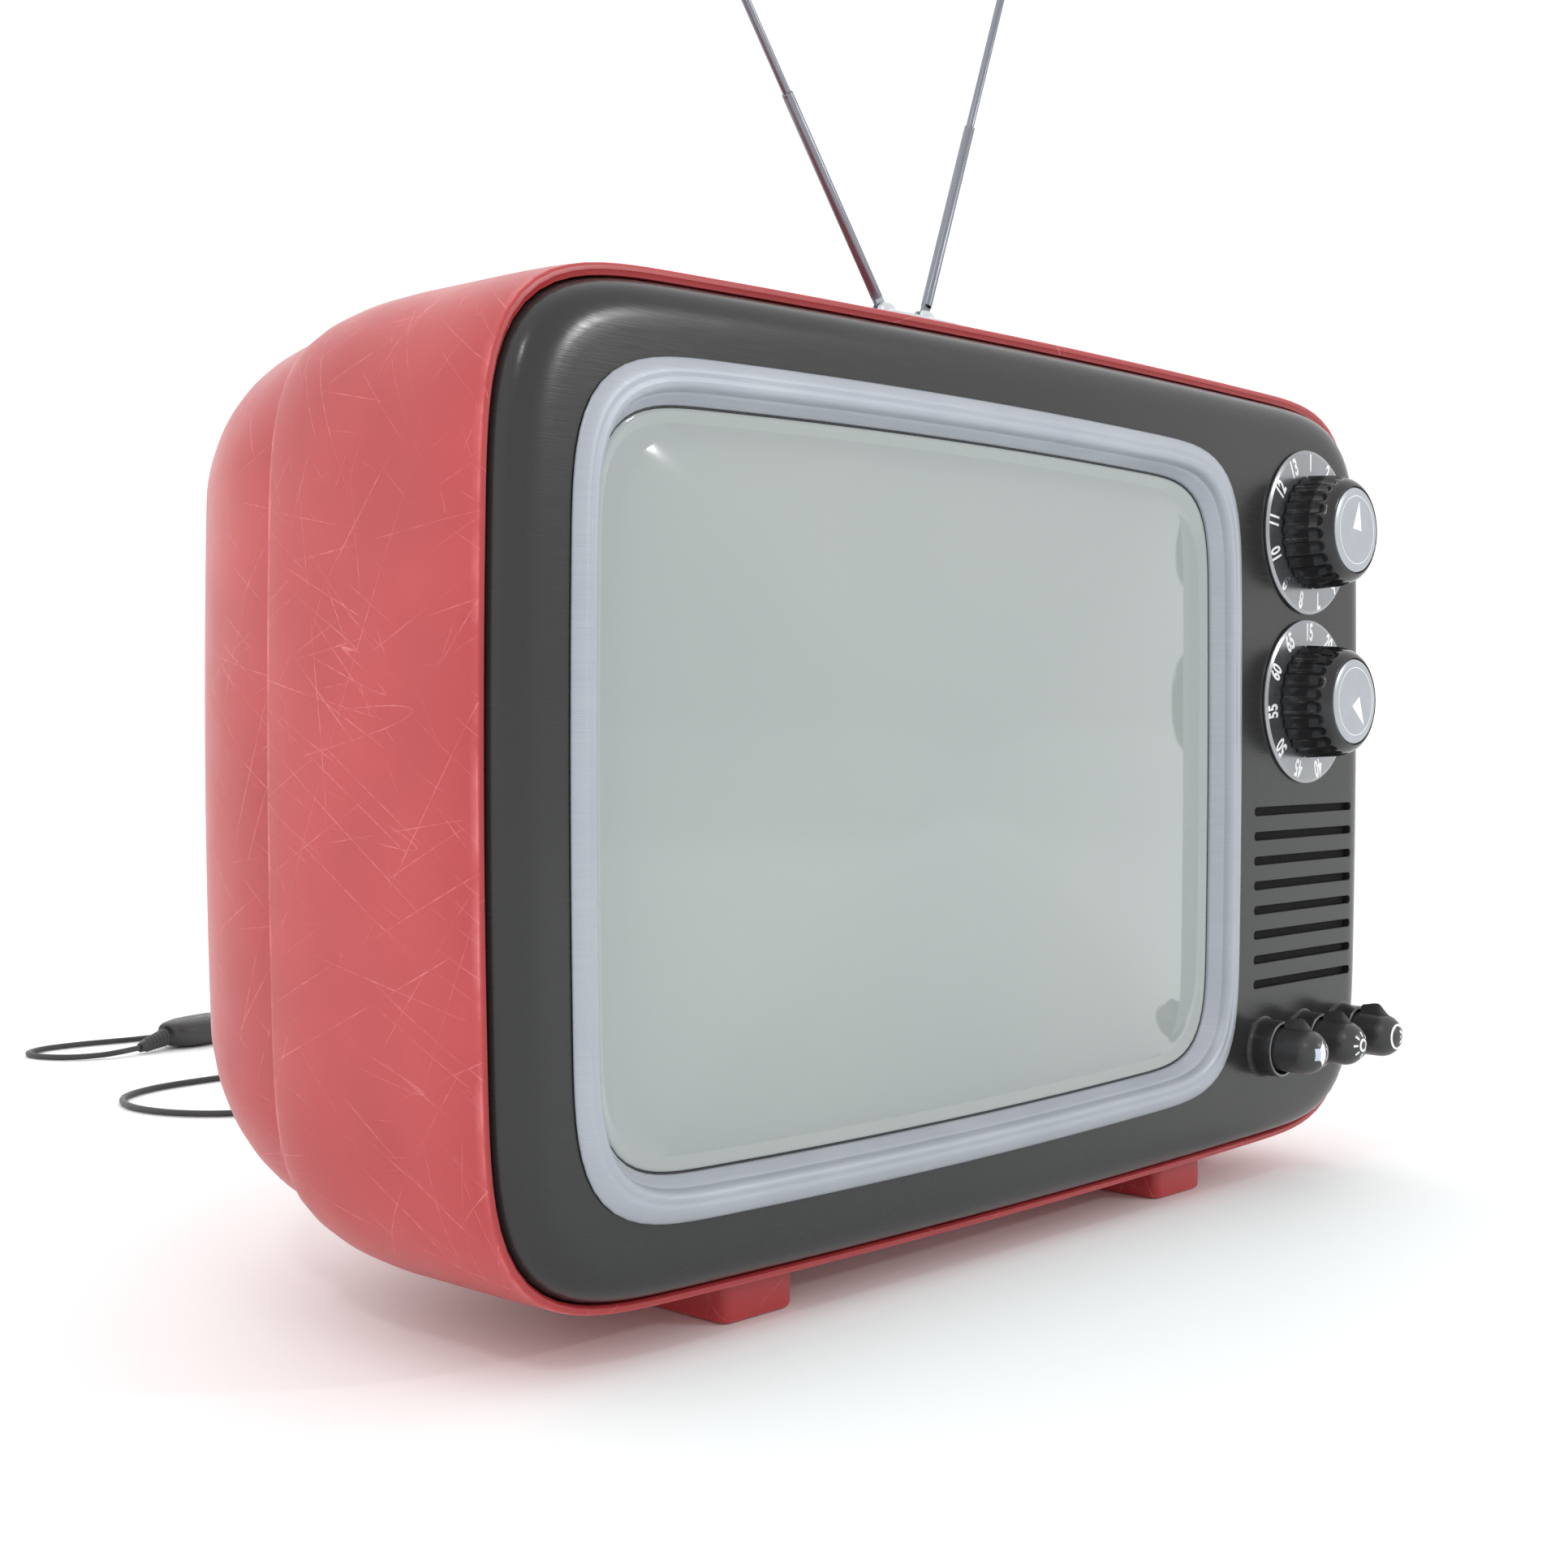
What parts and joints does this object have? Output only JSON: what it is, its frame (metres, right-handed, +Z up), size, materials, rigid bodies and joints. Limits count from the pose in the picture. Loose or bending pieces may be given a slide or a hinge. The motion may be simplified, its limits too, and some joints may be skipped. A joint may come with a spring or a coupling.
{
  "type": "tube television",
  "caption": "Portable tube television with two rotary channel dials, small picture and sound controls, side speaker, folding telescopic antenna and a mains lead.",
  "frame": {"origin": "centre of the television's outline, without its mains lead, on the plane its feet stand on", "axes": "+X to the right seen from the front, +Y to the back (the screen and controls face -Y), +Z up"},
  "size_m": [0.467, 0.6961, 0.596],
  "materials": {
    "red_plastic": "satin gloss moulded plastic with fine scratches",
    "dark_plastic": "dark grey moulded plastic",
    "black_plastic": "glossy black plastic",
    "satin_silver": "satin metallised plastic with fine brushing",
    "plated_steel": "plated sheet steel",
    "chrome": "polished plated tube",
    "brass": "bright brass",
    "aluminium": "plain aluminium",
    "tube_glass": "grey-green glass over a pale phosphor coat",
    "copper_winding": "lacquered copper wire",
    "board_laminate": "brown paper laminate",
    "black_rubber": "matt flexible rubber or vinyl",
    "cone_paper": "dark pressed paper"
  },
  "bodies": {
    "television": {"anode_cap": "black_rubber", "antenna_base": "satin_silver", "antenna_terminal_strip": "black_plastic", "brightness_potentiometer": "plated_steel", "cabinet_shell": "red_plastic", "contrast_potentiometer": "plated_steel", "cord_gland": "black_rubber", "deflection_yoke": "copper_winding", "electron_gun": "plated_steel", "filter_capacitor": "aluminium", "flyback_transformer": "black_plastic", "front_panel": "dark_plastic", "heat_sink": "aluminium", "left_foot": "red_plastic", "main_board": "board_laminate", "mains_plug": "black_rubber", "neck_socket_board": "board_laminate", "picture_tube": "tube_glass", "plug_pin_left": "brass", "plug_pin_right": "brass", "power_cord": "black_rubber", "rear_cover": "red_plastic", "rear_screw_lower_left": "plated_steel", "rear_screw_lower_right": "plated_steel", "rear_screw_upper_left": "plated_steel", "rear_screw_upper_right": "plated_steel", "right_foot": "red_plastic", "screen_frame": "satin_silver", "speaker_basket": "plated_steel", "speaker_cone": "cone_paper", "speaker_magnet": "plated_steel", "tube_band": "plated_steel", "uhf_dial_plate": "satin_silver", "uhf_tuner": "plated_steel", "vhf_dial_plate": "satin_silver", "vhf_tuner": "plated_steel", "volume_potentiometer": "plated_steel"},
    "vhf_selector": {"vhf_knob": "black_plastic", "vhf_knob_cap": "satin_silver", "vhf_shaft": "plated_steel"},
    "uhf_selector": {"uhf_knob": "black_plastic", "uhf_knob_cap": "satin_silver", "uhf_shaft": "plated_steel"},
    "volume_control": {"volume_knob": "dark_plastic", "volume_shaft": "plated_steel"},
    "brightness_control": {"brightness_knob": "dark_plastic", "brightness_shaft": "plated_steel"},
    "contrast_control": {"contrast_knob": "dark_plastic", "contrast_shaft": "plated_steel"},
    "left_antenna_swivel": {"left_swivel": "chrome"},
    "left_antenna_stage_1": {"left_rod_1": "chrome"},
    "left_antenna_stage_2": {"left_rod_2": "chrome"},
    "left_antenna_stage_3": {"left_rod_3": "chrome"},
    "left_antenna_stage_4": {"left_rod_4": "chrome"},
    "right_antenna_swivel": {"right_swivel": "chrome"},
    "right_antenna_stage_1": {"right_rod_1": "chrome"},
    "right_antenna_stage_2": {"right_rod_2": "chrome"},
    "right_antenna_stage_3": {"right_rod_3": "chrome"},
    "right_antenna_stage_4": {"right_rod_4": "chrome"}
  },
  "joints": [
    {"name": "vhf_selector_turn", "type": "hinge", "parent": "television", "child": "vhf_selector", "pos_m": [0.1797, -0.13, 0.2557], "axis": [0, 1, 0], "continuous": true},
    {"name": "uhf_selector_turn", "type": "hinge", "parent": "television", "child": "uhf_selector", "pos_m": [0.1797, -0.13, 0.189], "axis": [0, 1, 0], "range_deg": [-150, 150]},
    {"name": "volume_turn", "type": "hinge", "parent": "television", "child": "volume_control", "pos_m": [0.1497, -0.135, 0.0548], "axis": [0, 1, 0], "range_deg": [-150, 150]},
    {"name": "brightness_turn", "type": "hinge", "parent": "television", "child": "brightness_control", "pos_m": [0.1797, -0.135, 0.0548], "axis": [0, 1, 0], "range_deg": [-150, 150]},
    {"name": "contrast_turn", "type": "hinge", "parent": "television", "child": "contrast_control", "pos_m": [0.2097, -0.135, 0.0548], "axis": [0, 1, 0], "range_deg": [-150, 150]},
    {"name": "left_antenna_turn", "type": "hinge", "parent": "television", "child": "left_antenna_swivel", "pos_m": [-0.0108, -0.0645, 0.3242], "axis": [0, 0, 1], "range_deg": [-90, 90]},
    {"name": "left_antenna_tilt", "type": "hinge", "parent": "left_antenna_swivel", "child": "left_antenna_stage_1", "pos_m": [-0.0108, -0.0645, 0.3242], "axis": [-0.075, -0.9972, 0], "range_deg": [-34.4, 35]},
    {"name": "left_antenna_slide_2", "type": "slide", "parent": "left_antenna_stage_1", "child": "left_antenna_stage_2", "axis": [-0.5634, 0.0424, 0.8251], "range_m": [-0.064, 0]},
    {"name": "left_antenna_slide_3", "type": "slide", "parent": "left_antenna_stage_2", "child": "left_antenna_stage_3", "axis": [-0.5634, 0.0424, 0.8251], "range_m": [-0.064, 0]},
    {"name": "left_antenna_slide_4", "type": "slide", "parent": "left_antenna_stage_3", "child": "left_antenna_stage_4", "axis": [-0.5634, 0.0424, 0.8251], "range_m": [-0.064, 0]},
    {"name": "right_antenna_turn", "type": "hinge", "parent": "television", "child": "right_antenna_swivel", "pos_m": [0.0108, -0.0645, 0.3242], "axis": [0, 0, 1], "range_deg": [-90, 90]},
    {"name": "right_antenna_tilt", "type": "hinge", "parent": "right_antenna_swivel", "child": "right_antenna_stage_1", "pos_m": [0.0108, -0.0645, 0.3242], "axis": [-0.1201, 0.9928, 0], "range_deg": [-22.9, 47]},
    {"name": "right_antenna_slide_2", "type": "slide", "parent": "right_antenna_stage_1", "child": "right_antenna_stage_2", "axis": [0.3863, 0.0467, 0.9212], "range_m": [-0.064, 0]},
    {"name": "right_antenna_slide_3", "type": "slide", "parent": "right_antenna_stage_2", "child": "right_antenna_stage_3", "axis": [0.3863, 0.0467, 0.9212], "range_m": [-0.064, 0]},
    {"name": "right_antenna_slide_4", "type": "slide", "parent": "right_antenna_stage_3", "child": "right_antenna_stage_4", "axis": [0.3863, 0.0467, 0.9212], "range_m": [-0.064, 0]}
  ]
}
